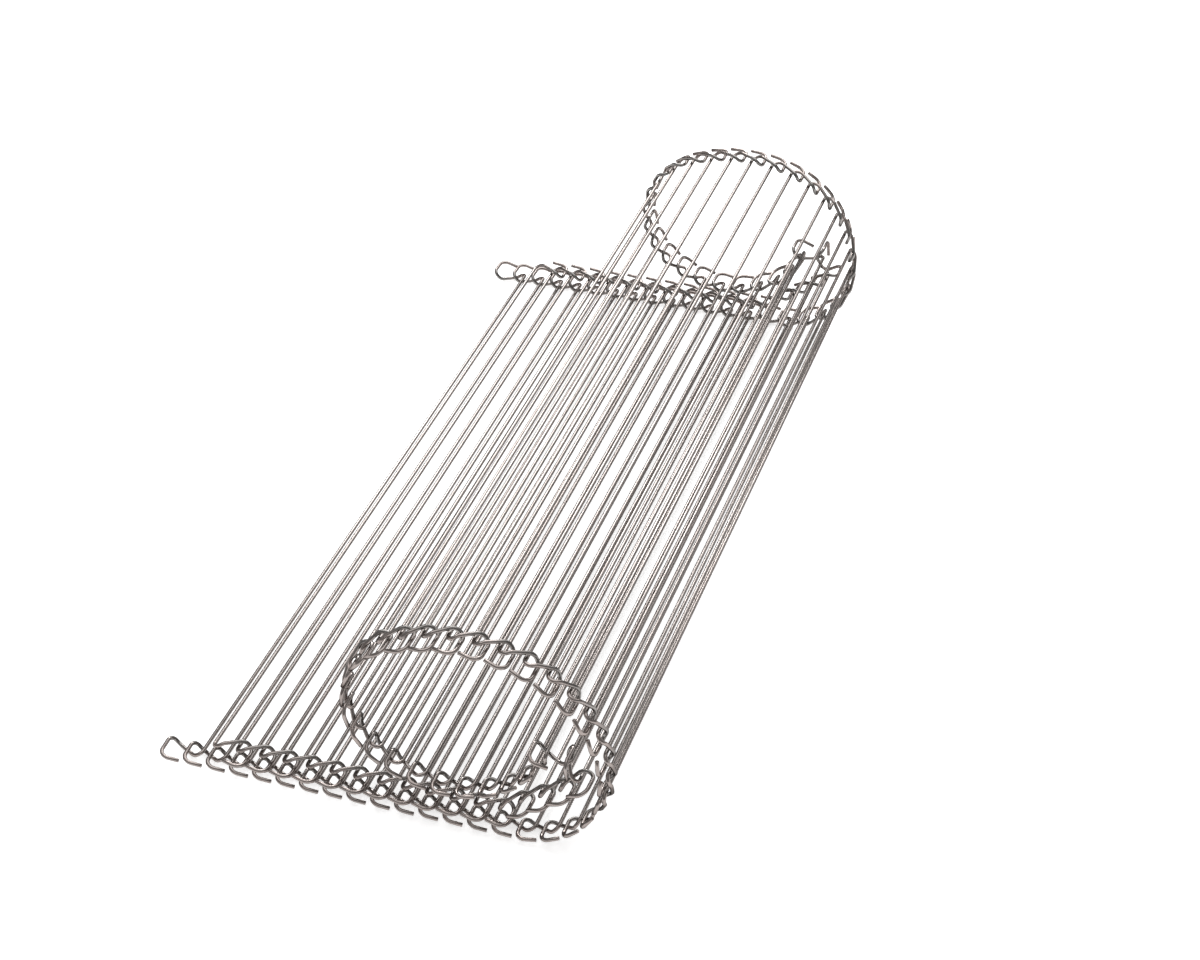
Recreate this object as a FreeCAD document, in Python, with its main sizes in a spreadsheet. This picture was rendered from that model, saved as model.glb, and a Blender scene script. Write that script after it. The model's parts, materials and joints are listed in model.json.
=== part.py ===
# Wire-link conveyor belt, loosely coiled and standing on its lower run.
# Every link is one round wire: a straight rod across the belt and an open hook at each end.
# Units are millimetres. +X runs along the lower run, +Y along the rods, +Z up.
import FreeCAD, Part
import math
import os

Vector = FreeCAD.Vector

# The wire
WIRE = {
    "wire_diameter": 1.8,
    "running_gap": 0.4,
    "rod_length": 384.0,
}

# One hook, measured back from its own rod and outwards from the end of the straight rod
HOOK = {
    "pitch": 10.4,
    "corner_out": 6.9,
    "corner_radius": 2.7,
    "leg_back": 4.6,
    "leg_out": 3.6,
    "dip_past": 2.0,
    "dip_in": 0.6,
    "loop_past": 5.8,
    "loop_in": 0.9,
    "loop_radius": 1.8,
    "loop_lift": 0.9,
    "edge_past": 5.5,
    "edge_out": 12.2,
    "edge_radius": 2.2,
    "edge_fall": 0.2,
    "tip_back": 7.6,
    "tip_out": 11.1,
    "tip_fall": 0.2,
}

# How the belt lies: links in each stretch, and the turn from one link to the next
COIL = {
    "floor_links": 14,
    "toe_links": 5,
    "toe_turn": 16.6,
    "brow_links": 7,
    "brow_turn": 11.5,
    "crown_links": 5,
    "crown_turn": 8.8,
    "back_links": 7,
    "back_turn": 17.0,
    "sole_links": 7,
    "sole_turn": 13.2,
    "fold_links": 3,
    "fold_turn": -66.6,
    "ramp_links": 3,
    "return_links": 12,
}

# Pairs of hidden links of the return run that share a file
SHARED = ((50, 52), (53, 55), (54, 56), (57, 59))

CHORDS_AT_CORNER = 2
CHORDS_AT_LOOP = 1
WIRE_SIDES = 6


def make_sheet(doc):
    """Put every size in one spreadsheet, each under its own name."""
    sheet = doc.addObject("Spreadsheet::Sheet", "Sizes")
    row = 0
    for group in (WIRE, HOOK, COIL):
        for name, value in group.items():
            row += 1
            sheet.set(f"A{row}", name)
            sheet.set(f"B{row}", str(value))
            sheet.setAlias(f"B{row}", name)
    doc.recompute()
    return sheet


def rounded_corner(before, corner, after, radius, chords):
    """Points of the arc that rounds a corner, as straight chords."""
    back = (before - corner).normalize()
    ahead = (after - corner).normalize()
    half = back.getAngle(ahead) / 2
    middle = corner + (back + ahead).normalize() * (radius / math.sin(half))
    start = corner + back * (radius / math.tan(half)) - middle
    end = corner + ahead * (radius / math.tan(half)) - middle
    sweep = start.getAngle(end)
    points = []
    for step in range(chords + 1):
        share = step / chords
        ray = start * math.sin((1 - share) * sweep) + end * math.sin(share * sweep)
        points.append(middle + ray * (1 / math.sin(sweep)))
    return points


def loop_height(size):
    """How far a loop stands above its own rod, so that it clears the leg that it holds."""
    return size.wire_diameter / 2 + size.loop_lift


def hook_points(size):
    """Centreline of the far hook, from the end of the straight rod to the cut tip.

    X is back (-) to on (+) along the belt, Y outwards and Z towards the inside of the coil.
    The leg dips under the rod of the link before, and the loop rises over that link's leg.
    """
    dip = size.wire_diameter + size.running_gap
    height = loop_height(size)
    rod = Vector(0, 0, 0)
    corner = Vector(0, size.corner_out, 0)
    leg = Vector(-size.leg_back, size.leg_out, -dip)
    dip_end = Vector(-size.pitch - size.dip_past, -size.dip_in, -dip)
    loop = Vector(-size.pitch - size.loop_past, -size.loop_in, height)
    edge = Vector(-size.pitch - size.edge_past, size.edge_out, height - size.edge_fall)
    tip = Vector(-size.tip_back, size.tip_out, -size.tip_fall)
    points = rounded_corner(rod, corner, leg, size.corner_radius, CHORDS_AT_CORNER)
    points += [leg, dip_end]
    points += rounded_corner(dip_end, loop, edge, size.loop_radius, CHORDS_AT_LOOP)
    points += rounded_corner(loop, edge, tip, size.edge_radius, CHORDS_AT_LOOP)
    return points + [tip]


def make_wire(doc, size):
    """One link's wire, swept along its bent centreline with mitred bends."""
    half = size.rod_length / 2
    far = [point + Vector(0, half, 0) for point in hook_points(size)]
    near = [Vector(point.x, -point.y, point.z) for point in reversed(far)]
    path = near + far

    centreline = doc.addObject("Part::Feature", "WireCentreline")
    centreline.Shape = Part.makePolygon(path)

    section = doc.addObject("Part::RegularPolygon", "WireSection")
    section.Polygon = WIRE_SIDES
    section.setExpression("Circumradius", "Sizes.wire_diameter / 2")
    along = path[1] - path[0]
    section.Placement = FreeCAD.Placement(path[0], FreeCAD.Rotation(Vector(0, 0, 1), along))

    wire = doc.addObject("Part::Sweep", "LinkWire")
    wire.Sections = [section]
    wire.Spine = (centreline, [])
    wire.Solid = True
    wire.Frenet = False
    wire.Transition = "Right corner"
    doc.recompute()
    return wire


def layer_spacing(size):
    """Height between the rods of two runs that lie loop against loop."""
    return 2 * (loop_height(size) + size.wire_diameter / 2) + size.running_gap


def stations(size):
    """Where each link's rod lies in the XZ plane, and which way the link points."""
    x = z = heading = 0.0
    places = [(x, z, heading)]

    def step(direction):
        nonlocal x, z
        x += size.pitch * math.cos(math.radians(direction))
        z += size.pitch * math.sin(math.radians(direction))
        places.append((x, z, direction))

    for _ in range(int(size.floor_links)):
        step(heading)
    for stretch in ("toe", "brow", "crown", "back", "sole", "fold"):
        for _ in range(int(getattr(size, stretch + "_links"))):
            heading += getattr(size, stretch + "_turn")
            step(heading)

    # The ramp brings the belt down onto its lower run, whatever height the fold has
    fall = (z - layer_spacing(size)) / (size.ramp_links * size.pitch)
    ramp = 180 + math.degrees(math.asin(fall))
    for _ in range(int(size.ramp_links)):
        step(ramp)
    for _ in range(int(size.return_links)):
        step(180)
    return places


def make_links(doc, size, wire):
    """Place the wire at every station, with the whole belt standing on Z = 0 about the origin."""
    turned = []
    for x, z, heading in stations(size):
        spin = FreeCAD.Rotation(Vector(0, -1, 0), heading)
        turned.append(FreeCAD.Placement(Vector(x, 0, z), spin))
    shapes = []
    for place in turned:
        shape = wire.Shape.copy()
        shape.Placement = place.multiply(wire.Shape.Placement)
        shapes.append(shape)
    box = Part.makeCompound(shapes).BoundBox
    centring = Vector(-box.Center.x, -box.Center.y, -box.ZMin)

    nodes = []
    sharing = {link for pair in SHARED for link in pair}
    groups = [(number,) for number in range(1, len(shapes) + 1) if number not in sharing]
    groups += [pair for pair in SHARED if pair[-1] <= len(shapes)]
    for group in sorted(groups):
        name = "link_" + "_".join(f"{number:02d}" for number in group)
        members = [shapes[number - 1] for number in group]
        link = doc.addObject("Part::Feature", name)
        link.Label = name
        link.Shape = members[0] if len(members) == 1 else Part.makeCompound(members)
        moved = FreeCAD.Placement(centring, FreeCAD.Rotation())
        link.Placement = moved.multiply(link.Placement)
        nodes.append(link)
    return nodes


def check_and_write(doc, nodes):
    """Stop on any object that failed, then write one STEP file for each node."""
    doc.recompute()
    for item in doc.Objects:
        if "Invalid" in item.State or "Error" in item.State:
            raise RuntimeError(f"{item.Label} did not recompute")
    for node in nodes:
        if node.Shape.isNull() or not node.Shape.isValid():
            raise RuntimeError(f"{node.Label} has no valid shape")
        node.Shape.exportStep(f"parts/{node.Label}.step")


def main():
    os.makedirs("parts", exist_ok=True)
    doc = FreeCAD.newDocument("WireBelt")
    size = make_sheet(doc)
    wire = make_wire(doc, size)
    nodes = make_links(doc, size, wire)
    check_and_write(doc, nodes)
    solids = sum(len(node.Shape.Solids) for node in nodes)
    box = Part.makeCompound([node.Shape for node in nodes]).BoundBox
    print(f"{len(nodes)} nodes, {solids} wires, {box.XLength:.1f} x {box.YLength:.1f} x {box.ZLength:.1f} mm")


main()
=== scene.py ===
import json
import math

import bpy
from bpy.props import FloatProperty, FloatVectorProperty, IntProperty, PointerProperty
from mathutils import Matrix, Vector


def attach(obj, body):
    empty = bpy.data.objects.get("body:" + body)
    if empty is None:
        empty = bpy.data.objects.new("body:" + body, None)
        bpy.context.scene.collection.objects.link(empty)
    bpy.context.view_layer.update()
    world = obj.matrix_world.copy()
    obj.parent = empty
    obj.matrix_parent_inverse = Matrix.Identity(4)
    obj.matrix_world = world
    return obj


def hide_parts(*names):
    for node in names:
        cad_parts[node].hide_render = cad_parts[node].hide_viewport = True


bl_info = {
    "name": "Wire Link Conveyor Belt",
    "version": (1, 0, 0),
    "blender": (4, 5, 0),
    "location": "View3D > Sidebar > Wire Belt",
    "description": "Builds a loosely coiled conveyor belt of hooked wire links, with its studio",
    "category": "Add Mesh",
}

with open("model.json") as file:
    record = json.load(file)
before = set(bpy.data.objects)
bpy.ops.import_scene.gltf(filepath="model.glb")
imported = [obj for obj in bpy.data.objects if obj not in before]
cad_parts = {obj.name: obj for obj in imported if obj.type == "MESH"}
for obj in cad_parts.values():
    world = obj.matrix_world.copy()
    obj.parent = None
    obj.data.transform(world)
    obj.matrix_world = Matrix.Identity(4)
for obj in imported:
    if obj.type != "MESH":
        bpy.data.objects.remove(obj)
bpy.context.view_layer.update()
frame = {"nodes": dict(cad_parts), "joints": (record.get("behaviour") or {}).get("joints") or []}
FIRST_ROD = Vector(frame["joints"][0]["pos_m"])

MM = 0.001
STRETCHES = ("toe", "brow", "crown", "back", "sole", "fold")

# Straight rod drawn ahead of each hook, and the length over which the painted highlight on the hooks comes in
LEAD_IN = 20 * MM
HIGHLIGHT_RISE = 4 * MM

# Chords that draw each bend of a hook
CORNER_CHORDS = 14
LEG_CHORDS = 5
DIP_CHORDS = 8
LOOP_CHORDS = 13
EDGE_CHORDS = 12

# The material: how often each pattern repeats round the wire and along a metre of it
DRAWN_REPEATS = (13.0, 5.0, 1.0)
CLOUD_REPEATS = (1.0, 16.0, 1.0)
DRAWN_RANGE = (0.34, 0.62)
CLOUD_RANGE = (0.3, 0.7)
LINK_OFFSET = 0.61

# The floor's own light, and the studio's bands of grey from the horizon up
FLOOR_GLOW = 0.6
HORIZON = (0.03, 0.8)
OVERHEAD = (0.85, 0.45)
WALL_FROM_TO = (0.1, 0.5)

# Each soft box: name, place, what it is aimed at, width, height and watts
LAMPS = (
    ("overhead_box", (-0.2, 0.3, 2.2), (0, 0, 0.05), 2.4, 2.4, 22.0),
    ("back_box", (-0.58, 1.5, 1.18), (0, 0, 0.05), 0.6, 0.42, 11.0),
    ("far_box", (0.1, 0.62, 0.55), (0, 0.2, 0.05), 0.6, 0.4, 2.0),
)


def length_mm(name, description, value):
    """A length property whose default is given in millimetres."""
    return FloatProperty(name=name, description=description, default=value * MM, min=0.0, unit="LENGTH")


def turn_deg(name, description, value):
    """An angle property whose default is given in degrees."""
    return FloatProperty(name=name, description=description, default=math.radians(value), subtype="ANGLE")


def count(name, description, value):
    """A number of links."""
    return IntProperty(name=name, description=description, default=value, min=1)


def surface_colour(name, description, value):
    """A colour property."""
    return FloatVectorProperty(
        name=name, description=description, default=value, size=3, min=0.0, max=1.0, subtype="COLOR"
    )


class WireSizes(bpy.types.PropertyGroup):
    """The round wire that every link is bent from."""

    diameter: length_mm("Wire Diameter", "Thickness of the round wire", 1.66)
    section: length_mm("Section Room", "Thickness that the hooks leave room for", 1.8)
    running_gap: length_mm("Running Gap", "Clearance between two hooked wires", 0.4)
    straight: length_mm("Straight Rod", "Straight length across the belt", 384.0)
    cut_bevel: length_mm("Cut Bevel", "Burr knocked off each cut end", 0.16)
    sides: IntProperty(name="Sides", description="Facets round the wire", default=20, min=8)


class HookSizes(bpy.types.PropertyGroup):
    """One hook, measured back from its own rod and outwards from the end of the rod."""

    pitch: length_mm("Pitch", "Distance from one rod to the next", 10.4)
    corner_out: length_mm("Corner Out", "How far the rod runs on before its corner", 6.9)
    corner_radius: length_mm("Corner Radius", "Centreline radius of that corner", 2.7)
    leg_back: length_mm("Leg Back", "Where the leg reaches its lowest line", 4.6)
    leg_out: length_mm("Leg Out", "How far out that point lies", 3.6)
    leg_radius: length_mm("Leg Radius", "Easing where the leg levels out", 4.6)
    dip_past: length_mm("Dip Past", "How far the leg runs under the rod before", 2.0)
    dip_in: length_mm("Dip In", "How far in the leg lies there", 0.6)
    dip_radius: length_mm("Dip Radius", "Easing where the leg starts to rise", 3.9)
    loop_past: length_mm("Loop Past", "How far the loop reaches past the rod before", 5.5)
    loop_in: length_mm("Loop In", "How far in the loop's inner corner lies", 0.9)
    loop_radius: length_mm("Loop Radius", "Centreline radius of the inner corner", 3.0)
    loop_lift: length_mm("Loop Lift", "How far the loop's underside stands above the rod", 0.9)
    edge_past: length_mm("Edge Past", "How far the outer corner reaches past the rod before", 5.3)
    edge_out: length_mm("Edge Out", "How far out the outer corner lies", 11.9)
    edge_radius: length_mm("Edge Radius", "Centreline radius of the outer corner", 3.8)
    edge_fall: length_mm("Edge Fall", "How far the loop falls to the outer corner", 0.2)
    tip_back: length_mm("Tip Back", "How far back from its rod the cut tip lies", 7.2)
    tip_out: length_mm("Tip Out", "How far out the cut tip lies", 10.7)
    tip_fall: length_mm("Tip Fall", "How far below its rod the cut tip lies", 0.2)


class CoilSizes(bpy.types.PropertyGroup):
    """How the belt lies, stretch by stretch, and the turn from one link to the next."""

    floor_links: count("Lower Run", "Links after the first on the floor", 14)
    toe_links: count("Toe Links", "Links where the belt lifts off the floor", 5)
    toe_turn: turn_deg("Toe Turn", "Turn of each toe link", 16.6)
    brow_links: count("Brow Links", "Links up the coil's side", 7)
    brow_turn: turn_deg("Brow Turn", "Turn of each brow link", 11.5)
    crown_links: count("Crown Links", "Links over the coil's top", 5)
    crown_turn: turn_deg("Crown Turn", "Turn of each crown link", 8.8)
    back_links: count("Back Links", "Links down the other side", 7)
    back_turn: turn_deg("Back Turn", "Turn of each back link", 17.0)
    sole_links: count("Sole Links", "Links along the coil's inner bottom", 7)
    sole_turn: turn_deg("Sole Turn", "Turn of each sole link", 13.2)
    fold_links: count("Fold Links", "Links where the belt folds back on itself", 3)
    fold_turn: turn_deg("Fold Turn", "Turn of each fold link, the other way", -66.6)
    ramp_links: count("Ramp Links", "Links that run down onto the lower run", 3)
    return_links: count("Return Links", "Links that lie on the lower run", 12)


class WireFinish(bpy.types.PropertyGroup):
    """The bright drawn wire, its greys darkened as painted shade and its hooks given a lighter, warmer painted
    highlight.
    """

    # The first two colours are the wire's grey and its drawn lines, both set darker than the wire is, as
    # painted shade standing in for the dark surroundings that it reflects
    steel_painted_darker: surface_colour("Steel", "Colour of the clean wire", (0.31, 0.295, 0.284))
    drawn_dark: surface_colour("Drawn Lines", "Colour in the fine lines left by drawing", (0.17, 0.161, 0.154))
    # Bend Tint is a lighter, warmer colour mixed in on the hooks as a painted highlight; the wire there is no
    # different in colour
    painted_hook_highlight: surface_colour("Bend Tint", "Warm tint where the wire was bent", (0.42, 0.352, 0.328))
    edge: surface_colour("Edge Tint", "Reflection at a grazing angle", (0.25, 0.25, 0.25))
    gloss_low: FloatProperty(name="Smoothest", description="Lowest roughness", default=0.12, min=0.0, max=1.0)
    gloss_high: FloatProperty(name="Roughest", description="Highest roughness", default=0.26, min=0.0, max=1.0)


class StudioLook(bpy.types.PropertyGroup):
    """Camera, lamps and floor."""

    camera_at: FloatVectorProperty(
        name="Camera", description="Where the camera stands", default=(0.32519, -0.8553, 0.69386), size=3,
        subtype="TRANSLATION", unit="LENGTH",
    )
    azimuth: turn_deg("Azimuth", "Turn of the camera round the belt", 19.2537)
    elevation: turn_deg("Elevation", "Downward tilt of the camera", 36.2728)
    roll: turn_deg("Roll", "Roll of the camera about its view", -1.25)
    lens: FloatProperty(name="Lens", description="Focal length in millimetres", default=74.2, min=1.0)
    floor_width: FloatProperty(
        name="Floor", description="Width of the floor", default=30.0, min=1.0, unit="LENGTH"
    )
    floor_colour: surface_colour("Floor Colour", "Pale floor", (0.9, 0.9, 0.9))
    wall_colour: surface_colour("Wall Colour", "Studio walls that the wire reflects", (0.3, 0.3, 0.3))


def rounded_corner(before, corner, after, radius, chords):
    """Points of the arc that rounds a corner."""
    back = (before - corner).normalized()
    ahead = (after - corner).normalized()
    half = back.angle(ahead) / 2
    middle = corner + (back + ahead).normalized() * (radius / math.sin(half))
    start = corner + back * (radius / math.tan(half)) - middle
    end = corner + ahead * (radius / math.tan(half)) - middle
    return [middle + start.slerp(end, step / chords) * radius for step in range(chords + 1)]


def hook_line(wire, hook):
    """Centreline of the far hook, from the rod to the cut tip."""
    dip = wire.section + wire.running_gap
    height = wire.section / 2 + hook.loop_lift
    corners = [
        (Vector((0, -LEAD_IN, 0)), 0, 0),
        (Vector((0, hook.corner_out, 0)), hook.corner_radius, CORNER_CHORDS),
        (Vector((-hook.leg_back, hook.leg_out, -dip)), hook.leg_radius, LEG_CHORDS),
        (Vector((-hook.pitch - hook.dip_past, -hook.dip_in, -dip)), hook.dip_radius, DIP_CHORDS),
        (Vector((-hook.pitch - hook.loop_past, -hook.loop_in, height)), hook.loop_radius, LOOP_CHORDS),
        (
            Vector((-hook.pitch - hook.edge_past, hook.edge_out, height - hook.edge_fall)),
            hook.edge_radius,
            EDGE_CHORDS,
        ),
        (Vector((-hook.tip_back, hook.tip_out, -hook.tip_fall)), 0, 0),
    ]
    line = []
    for place in range(1, len(corners) - 1):
        before, after = corners[place - 1][0], corners[place + 1][0]
        corner, radius, chords = corners[place]
        line += rounded_corner(before, corner, after, radius, chords)
    return line + [corners[-1][0]]


def link_line(wire, hook):
    """Centreline of the whole link, from the near cut tip to the far one."""
    far = [point + Vector((0, wire.straight / 2, 0)) for point in hook_line(wire, hook)]
    near = [Vector((point.x, -point.y, point.z)) for point in reversed(far)]
    return near + far


def sweep(line, radius, sides, bevel):
    """Rings of a round wire along a line, with knocked-off rims, as points, faces and lengths."""
    ahead = [(b - a).normalized() for a, b in zip(line, line[1:])]
    tangents = [ahead[0]] + [(a + b).normalized() for a, b in zip(ahead, ahead[1:])] + [ahead[-1]]
    side = tangents[0].orthogonal().normalized()
    rings = []
    travelled = 0.0
    for place, (centre, tangent) in enumerate(zip(line, tangents)):
        if place:
            side.rotate(tangents[place - 1].rotation_difference(tangent))
            side = (side - tangent * side.dot(tangent)).normalized()
            travelled += (centre - line[place - 1]).length
        up = tangent.cross(side)
        rings.append([centre, tangent, side.copy(), up, radius, travelled])
    first, last = rings[0], rings[-1]
    rings = [
        [first[0], *first[1:4], radius - bevel, 0.0],
        [first[0] + first[1] * bevel, *first[1:]],
        *rings[1:-1],
        [last[0] - last[1] * bevel, *last[1:]],
        [last[0], *last[1:4], radius - bevel, last[5]],
    ]
    points = []
    for centre, _, side, up, reach, _ in rings:
        for step in range(sides):
            turn = math.tau * step / sides
            points.append(centre + (side * math.cos(turn) + up * math.sin(turn)) * reach)
    faces = []
    for ring in range(len(rings) - 1):
        for step in range(sides):
            after = (step + 1) % sides
            low, high = ring * sides, (ring + 1) * sides
            faces.append((low + step, low + after, high + after, high + step))
    faces.append(tuple(reversed(range(sides))))
    faces.append(tuple(range((len(rings) - 1) * sides, len(rings) * sides)))
    return points, faces, [ring[5] for ring in rings]


def stations(coil, wire, hook):
    """Where each link's rod lies, and which way the link points."""
    spot = FIRST_ROD.copy()
    spot.y = 0.0
    heading = 0.0
    places = [(spot.copy(), heading)]

    def step(direction):
        spot.x += hook.pitch * math.cos(direction)
        spot.z += hook.pitch * math.sin(direction)
        places.append((spot.copy(), direction))

    for _ in range(coil.floor_links):
        step(heading)
    for stretch in STRETCHES:
        for _ in range(getattr(coil, stretch + "_links")):
            heading += getattr(coil, stretch + "_turn")
            step(heading)
    spacing = 2 * (wire.section + hook.loop_lift) + wire.running_gap
    fall = (spot.z - FIRST_ROD.z - spacing) / (coil.ramp_links * hook.pitch)
    for _ in range(coil.ramp_links):
        step(math.pi + math.asin(fall))
    for _ in range(coil.return_links):
        step(math.pi)
    return places


def new_material(name):
    """An empty node material and its tree."""
    material = bpy.data.materials.new(name)
    material.use_nodes = True
    material.node_tree.nodes.clear()
    return material, material.node_tree


def node(tree, kind, **values):
    """A shader node with the values of its fields and inputs set."""
    made = tree.nodes.new(kind)
    for name, value in values.items():
        if hasattr(made, name):
            setattr(made, name, value)
        else:
            made.inputs[name.replace("_", " ").title()].default_value = value
    return made


def drawn_wire(finish):
    """Bright drawn wire: fine lines along it, a worn sheen, its greys darkened as painted shade and a lighter,
    warmer painted highlight mixed in on the hooks.
    """
    material, tree = new_material("bright_drawn_wire")
    link = tree.links.new
    out = node(tree, "ShaderNodeOutputMaterial")
    shader = node(tree, "ShaderNodeBsdfPrincipled")
    shader.inputs["Metallic"].default_value = 1.0
    shader.inputs["Specular Tint"].default_value = (*finish.edge, 1)
    link(shader.outputs["BSDF"], out.inputs["Surface"])

    along = node(tree, "ShaderNodeUVMap", uv_map="along_wire")
    stretch = node(tree, "ShaderNodeMapping")
    stretch.inputs["Scale"].default_value = DRAWN_REPEATS
    link(along.outputs["UV"], stretch.inputs["Vector"])
    lines = node(tree, "ShaderNodeTexNoise", scale=1.0, detail=2.0, roughness=0.5)
    link(stretch.outputs["Vector"], lines.inputs["Vector"])

    cloudy = node(tree, "ShaderNodeMapping")
    cloudy.inputs["Scale"].default_value = CLOUD_REPEATS
    link(along.outputs["UV"], cloudy.inputs["Vector"])
    clouds = node(tree, "ShaderNodeTexNoise", scale=1.0, detail=2.0, roughness=0.5)
    link(cloudy.outputs["Vector"], clouds.inputs["Vector"])

    # Ramp between the drawn lines and the wire's grey, both darkened as painted shade
    tone = node(tree, "ShaderNodeValToRGB")
    tone.color_ramp.elements[0].position = DRAWN_RANGE[0]
    tone.color_ramp.elements[0].color = (*finish.drawn_dark, 1)
    tone.color_ramp.elements[1].position = DRAWN_RANGE[1]
    tone.color_ramp.elements[1].color = (*finish.steel_painted_darker, 1)
    link(lines.outputs["Fac"], tone.inputs["Fac"])

    # The hooks' mask times the clouds sets how much painted highlight lightens and warms the colour
    hook_highlight_mask = node(tree, "ShaderNodeAttribute", attribute_name="hook_highlight_mask")
    highlight_share = node(tree, "ShaderNodeMath", operation="MULTIPLY")
    link(hook_highlight_mask.outputs["Fac"], highlight_share.inputs[0])
    link(clouds.outputs["Fac"], highlight_share.inputs[1])
    highlighted = node(tree, "ShaderNodeMix", data_type="RGBA")
    highlighted.inputs[7].default_value = (*finish.painted_hook_highlight, 1)
    link(highlight_share.outputs["Value"], highlighted.inputs[0])
    link(tone.outputs["Color"], highlighted.inputs[6])
    link(highlighted.outputs[2], shader.inputs["Base Color"])

    sheen = node(tree, "ShaderNodeMapRange")
    sheen.inputs["From Min"].default_value = CLOUD_RANGE[0]
    sheen.inputs["From Max"].default_value = CLOUD_RANGE[1]
    sheen.inputs["To Min"].default_value = finish.gloss_low
    sheen.inputs["To Max"].default_value = finish.gloss_high
    link(clouds.outputs["Fac"], sheen.inputs["Value"])
    link(sheen.outputs["Result"], shader.inputs["Roughness"])

    bump = node(tree, "ShaderNodeBump", strength=0.1, distance=0.00002)
    link(lines.outputs["Fac"], bump.inputs["Height"])
    link(bump.outputs["Normal"], shader.inputs["Normal"])
    return material


def wire_material(finish):
    """The one wire material, made on first use."""
    return bpy.data.materials.get("bright_drawn_wire") or drawn_wire(finish)


def build_link(scene, name, body, numbers, cad_node):
    """One piece: the wire or wires that stand for a CAD node, riding on its body."""
    wire, hook = scene.belt_wire, scene.belt_hook
    line = link_line(wire, hook)
    points, faces, lengths = sweep(line, wire.diameter / 2, wire.sides, wire.cut_bevel)
    places = stations(scene.belt_coil, wire, hook)
    half = wire.straight / 2
    all_points, all_faces, highlight_weights, offsets = [], [], [], []
    for number in numbers:
        spot, heading = places[number - 1]
        turn = Matrix.Translation(spot) @ Matrix.Rotation(-heading, 4, "Y")
        base = len(all_points)
        all_points += [turn @ point for point in points]
        all_faces += [tuple(base + corner for corner in face) for face in faces]
        # Painted highlight weight: none along the rod, rising to full on the hooks
        highlight_weights += [min(1.0, max(0.0, abs(point.y) - half) / HIGHLIGHT_RISE) for point in points]
        offsets += [LINK_OFFSET * number] * len(points)
    mesh = bpy.data.meshes.new(name)
    mesh.from_pydata(all_points, [], all_faces)
    mesh.shade_smooth()
    # The painted highlight mask, stored on the mesh
    layer = mesh.attributes.new("hook_highlight_mask", "FLOAT", "POINT")
    layer.data.foreach_set("value", highlight_weights)
    uv = mesh.uv_layers.new(name="along_wire")
    sides = wire.sides
    per_wire = len(points)
    for face in mesh.polygons:
        ends = len(face.vertices) > 4
        face.use_smooth = not ends
        for loop in face.loop_indices:
            vertex = mesh.loops[loop].vertex_index
            ring, step = divmod(vertex % per_wire, sides)
            around = step / sides
            closes = any((corner % per_wire) % sides == sides - 1 for corner in face.vertices)
            if not ends and around == 0.0 and closes:
                around = 1.0
            uv.data[loop].uv = (around + offsets[vertex], lengths[ring] + offsets[vertex])
    piece = bpy.data.objects.new(name, mesh)
    scene.collection.objects.link(piece)
    mesh.materials.append(wire_material(scene.belt_finish))
    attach(piece, body)
    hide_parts(cad_node)
    return piece


def cad_links(first, last):
    """The CAD nodes whose first link lies in that span, with the numbers of their links."""
    found = []
    for cad_node in sorted(frame["nodes"]):
        numbers = [int(part) for part in cad_node.split("_")[1:]]
        if first <= numbers[0] <= last:
            found.append((cad_node, numbers))
    if not found:
        raise RuntimeError(f"no link from {first} to {last} in the frame")
    return found


def build_span(scene, first, last, body):
    """Every link of a stretch of the belt."""
    for cad_node, numbers in cad_links(first, last):
        build_link(scene, cad_node.replace("link", "wire"), body, numbers, cad_node)


class BELT_OT_leading_link(bpy.types.Operator):
    """Add the free end's link, which swings on its own rod"""

    bl_idname = "wire_belt.leading_link"
    bl_label = "Add Leading Link"

    def execute(self, context):
        build_span(context.scene, 1, 1, "leading_link")
        return {"FINISHED"}


class BELT_OT_lower_run(bpy.types.Operator):
    """Add the links that lie on the floor"""

    bl_idname = "wire_belt.lower_run"
    bl_label = "Add Lower Run"

    def execute(self, context):
        build_span(context.scene, 2, 1 + context.scene.belt_coil.floor_links, "belt")
        return {"FINISHED"}


class BELT_OT_coil(bpy.types.Operator):
    """Add the links of the open coil"""

    bl_idname = "wire_belt.coil"
    bl_label = "Add Coil"

    def execute(self, context):
        coil = context.scene.belt_coil
        first = 2 + coil.floor_links
        span = coil.toe_links + coil.brow_links + coil.crown_links + coil.back_links + coil.sole_links
        build_span(context.scene, first, first + span - 1, "belt")
        return {"FINISHED"}


class BELT_OT_return_run(bpy.types.Operator):
    """Add the fold, the ramp and the run that lies on the lower one"""

    bl_idname = "wire_belt.return_run"
    bl_label = "Add Return Run"

    def execute(self, context):
        coil = context.scene.belt_coil
        places = stations(coil, context.scene.belt_wire, context.scene.belt_hook)
        span = coil.fold_links + coil.ramp_links + coil.return_links
        build_span(context.scene, len(places) - span + 1, len(places), "belt")
        return {"FINISHED"}


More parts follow.
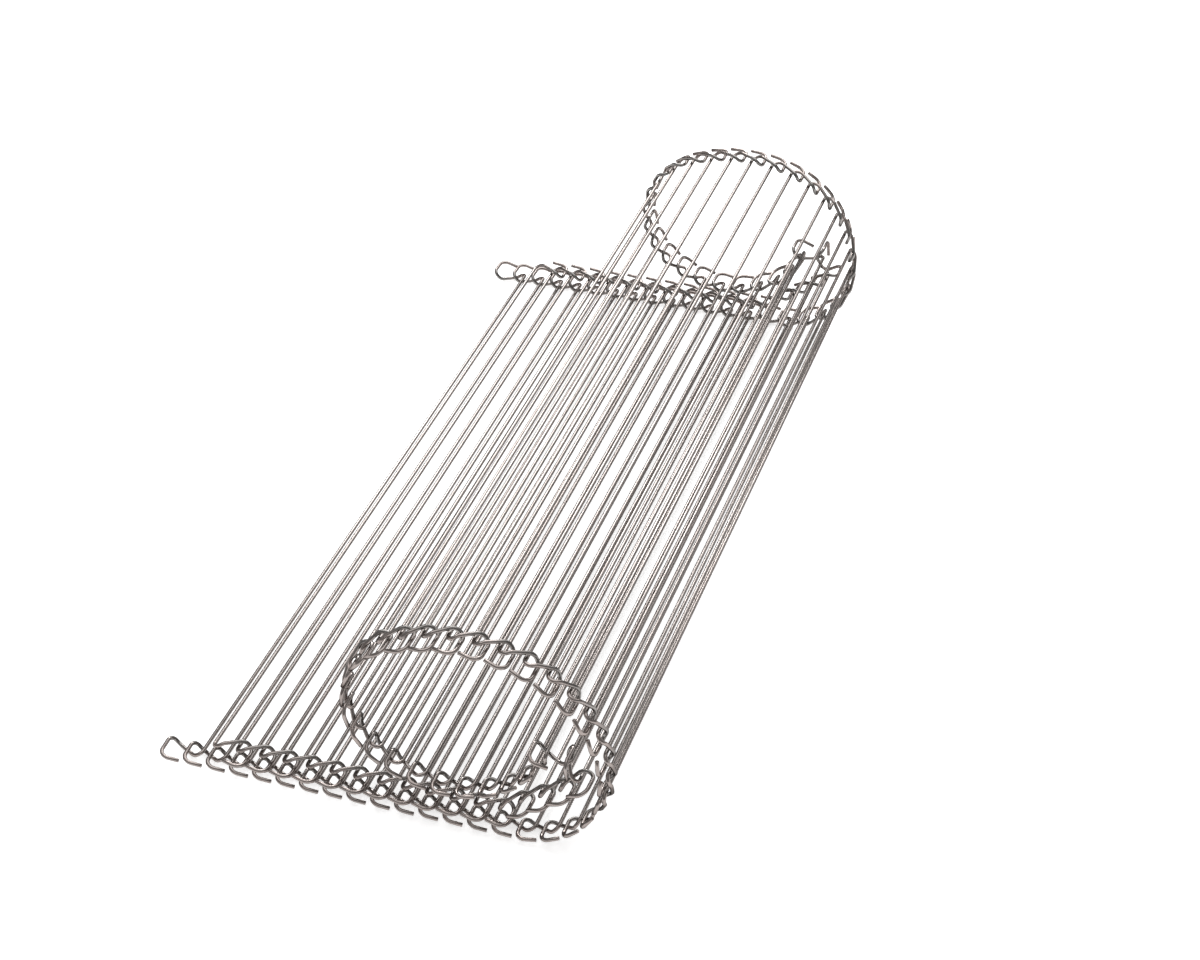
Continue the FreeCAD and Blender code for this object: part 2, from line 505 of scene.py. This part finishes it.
def floor_material(look):
    """A pale floor that shows white to the eye and in the wire, and keeps the belt's shadow."""
    material, tree = new_material("pale_floor")
    link = tree.links.new
    out = node(tree, "ShaderNodeOutputMaterial")
    paint = node(tree, "ShaderNodeBsdfDiffuse")
    paint.inputs["Color"].default_value = (*look.floor_colour, 1)
    glow = node(tree, "ShaderNodeEmission")
    both = node(tree, "ShaderNodeAddShader")
    rays = node(tree, "ShaderNodeLightPath")
    seen = node(tree, "ShaderNodeMath", operation="MAXIMUM")
    seen_too = node(tree, "ShaderNodeMath", operation="MAXIMUM")
    lift = node(tree, "ShaderNodeMath", operation="MULTIPLY")
    lift.inputs[1].default_value = FLOOR_GLOW
    link(rays.outputs["Is Camera Ray"], seen.inputs[0])
    link(rays.outputs["Is Glossy Ray"], seen.inputs[1])
    link(seen.outputs["Value"], seen_too.inputs[0])
    link(rays.outputs["Is Transmission Ray"], seen_too.inputs[1])
    link(seen_too.outputs["Value"], lift.inputs[0])
    link(lift.outputs["Value"], glow.inputs["Strength"])
    link(paint.outputs["BSDF"], both.inputs[0])
    link(glow.outputs["Emission"], both.inputs[1])
    link(both.outputs["Shader"], out.inputs["Surface"])
    return material


def add_floor(scene, look):
    """A wide flat floor."""
    half = look.floor_width / 2
    mesh = bpy.data.meshes.new("floor")
    corners = [(-half, -half, 0), (half, -half, 0), (half, half, 0), (-half, half, 0)]
    mesh.from_pydata(corners, [], [(0, 1, 2, 3)])
    mesh.materials.append(floor_material(look))
    floor = bpy.data.objects.new("floor", mesh)
    scene.collection.objects.link(floor)


def add_walls(scene, look):
    """Soft light all round: pale at the horizon, darker walls above it and grey overhead."""
    world = bpy.data.worlds.new("studio")
    scene.world = world
    world.use_nodes = True
    tree = world.node_tree
    tree.nodes.clear()
    link = tree.links.new
    out = node(tree, "ShaderNodeOutputWorld")
    light = node(tree, "ShaderNodeBackground")
    where = node(tree, "ShaderNodeTexCoord")
    split = node(tree, "ShaderNodeSeparateXYZ")
    ramp = node(tree, "ShaderNodeValToRGB")
    link(where.outputs["Generated"], split.inputs["Vector"])
    link(split.outputs["Z"], ramp.inputs["Fac"])
    link(ramp.outputs["Color"], light.inputs["Color"])
    link(light.outputs["Background"], out.inputs["Surface"])
    bands = ramp.color_ramp
    for end, (position, grey) in zip(bands.elements, (HORIZON, OVERHEAD)):
        end.position = position
        end.color = (grey, grey, grey, 1)
    for position in WALL_FROM_TO:
        band = bands.elements.new(position)
        band.color = (*look.wall_colour, 1)


def add_lamp(scene, name, at, aim, width, height, watts):
    """A soft box aimed at a point."""
    data = bpy.data.lights.new(name, "AREA")
    data.shape = "RECTANGLE"
    data.size = width
    data.size_y = height
    data.energy = watts
    lamp = bpy.data.objects.new(name, data)
    lamp.location = at
    lamp.rotation_mode = "QUATERNION"
    lamp.rotation_quaternion = (Vector(aim) - Vector(at)).to_track_quat("-Z", "Y")
    scene.collection.objects.link(lamp)


def add_camera(scene, look):
    """The camera at the photograph's viewing angle."""
    data = bpy.data.cameras.new("camera")
    data.lens = look.lens
    data.sensor_width = 36.0
    data.clip_start = 0.01
    camera = bpy.data.objects.new("camera", data)
    scene.collection.objects.link(camera)
    level = math.cos(look.elevation)
    view = Vector((
        -math.sin(look.azimuth) * level,
        math.cos(look.azimuth) * level,
        -math.sin(look.elevation),
    ))
    camera.rotation_mode = "QUATERNION"
    turned = view.to_track_quat("-Z", "Y") @ Matrix.Rotation(look.roll, 3, "Z").to_quaternion()
    camera.rotation_quaternion = turned
    camera.location = look.camera_at
    scene.camera = camera


class BELT_OT_studio(bpy.types.Operator):
    """Add the floor, the soft light and the camera"""

    bl_idname = "wire_belt.studio"
    bl_label = "Add Studio"

    def execute(self, context):
        scene = context.scene
        look = scene.belt_studio
        add_floor(scene, look)
        add_walls(scene, look)
        for lamp in LAMPS:
            add_lamp(scene, *lamp)
        add_camera(scene, look)
        scene.view_settings.view_transform = "Standard"
        return {"FINISHED"}


class BELT_PT_panel(bpy.types.Panel):
    """Lists the belt's stretches and the studio."""

    bl_label = "Wire Link Belt"
    bl_idname = "BELT_PT_panel"
    bl_space_type = "VIEW_3D"
    bl_region_type = "UI"
    bl_category = "Wire Belt"

    def draw(self, context):
        layout = self.layout
        for operator in OPERATORS:
            layout.operator(operator.bl_idname)
        for group in SETTINGS:
            box = layout.box()
            box.label(text=SETTINGS[group].__doc__)
            settings = getattr(context.scene, group)
            for name in SETTINGS[group].__annotations__:
                box.prop(settings, name)


SETTINGS = {
    "belt_wire": WireSizes,
    "belt_hook": HookSizes,
    "belt_coil": CoilSizes,
    "belt_finish": WireFinish,
    "belt_studio": StudioLook,
}
OPERATORS = (
    BELT_OT_leading_link,
    BELT_OT_lower_run,
    BELT_OT_coil,
    BELT_OT_return_run,
    BELT_OT_studio,
)


def register():
    for group, sizes in SETTINGS.items():
        bpy.utils.register_class(sizes)
        setattr(bpy.types.Scene, group, PointerProperty(type=sizes))
    for operator in OPERATORS:
        bpy.utils.register_class(operator)
    bpy.utils.register_class(BELT_PT_panel)


def unregister():
    bpy.utils.unregister_class(BELT_PT_panel)
    for operator in reversed(OPERATORS):
        bpy.utils.unregister_class(operator)
    for group, sizes in reversed(SETTINGS.items()):
        delattr(bpy.types.Scene, group)
        bpy.utils.unregister_class(sizes)


def main():
    register()
    bpy.ops.wire_belt.leading_link()
    bpy.ops.wire_belt.lower_run()
    bpy.ops.wire_belt.coil()
    bpy.ops.wire_belt.return_run()
    bpy.ops.wire_belt.studio()


if __name__ == "__main__":
    main()
